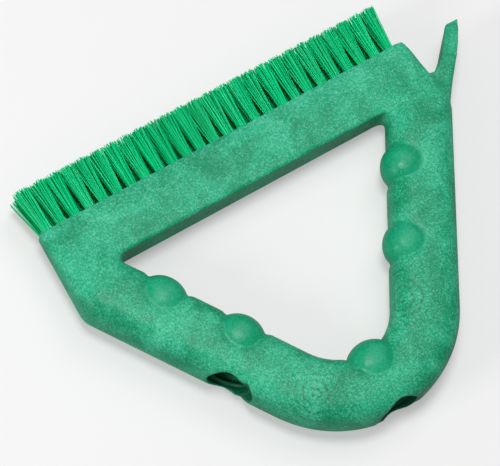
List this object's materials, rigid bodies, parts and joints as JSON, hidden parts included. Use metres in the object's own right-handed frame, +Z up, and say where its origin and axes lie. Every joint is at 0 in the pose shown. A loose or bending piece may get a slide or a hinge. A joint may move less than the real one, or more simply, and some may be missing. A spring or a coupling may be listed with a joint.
{
  "type": "grout brush",
  "caption": "Triangular-handled grout brush: a foamed-plastic block with rows of stiff bristle tufts, finger bumps, a corner scraper and threaded handle sockets.",
  "frame": {"origin": "middle of the brush's bounding box, on the plane that its lower face rests on", "axes": "+X along the bar towards the scraper, +Y from the bend of the handle towards the bristle tips, +Z up from the lower face to the upper face"},
  "size_m": [0.2364, 0.1739, 0.027],
  "materials": {
    "block": "satin foamed plastic with pale swirls",
    "anchor_wire": "flat wire",
    "bristles": "crimped polyester filament"
  },
  "bodies": {
    "root": {"brush_block": "block", "tuft_anchors": "anchor_wire", "tuft_upper_1": "bristles", "tuft_upper_2": "bristles", "tuft_upper_3": "bristles", "tuft_upper_4": "bristles", "tuft_upper_5": "bristles", "tuft_upper_6": "bristles", "tuft_upper_7": "bristles", "tuft_upper_8": "bristles", "tuft_upper_9": "bristles", "tuft_upper_10": "bristles", "tuft_upper_11": "bristles", "tuft_upper_12": "bristles", "tuft_upper_13": "bristles", "tuft_upper_14": "bristles", "tuft_upper_15": "bristles", "tuft_upper_16": "bristles", "tuft_upper_17": "bristles", "tuft_upper_18": "bristles", "tuft_upper_19": "bristles", "tuft_upper_20": "bristles", "tuft_upper_21": "bristles", "tuft_upper_22": "bristles", "tuft_upper_23": "bristles", "tuft_upper_24": "bristles", "tuft_upper_25": "bristles", "tuft_upper_26": "bristles", "tuft_lower_1": "bristles", "tuft_lower_2": "bristles", "tuft_lower_3": "bristles", "tuft_lower_4": "bristles", "tuft_lower_5": "bristles", "tuft_lower_6": "bristles", "tuft_lower_7": "bristles", "tuft_lower_8": "bristles", "tuft_lower_9": "bristles", "tuft_lower_10": "bristles", "tuft_lower_11": "bristles", "tuft_lower_12": "bristles", "tuft_lower_13": "bristles", "tuft_lower_14": "bristles", "tuft_lower_15": "bristles", "tuft_lower_16": "bristles", "tuft_lower_17": "bristles", "tuft_lower_18": "bristles", "tuft_lower_19": "bristles", "tuft_lower_20": "bristles", "tuft_lower_21": "bristles", "tuft_lower_22": "bristles", "tuft_lower_23": "bristles", "tuft_lower_24": "bristles", "tuft_lower_25": "bristles", "tuft_lower_26": "bristles"}
  },
  "joints": []
}
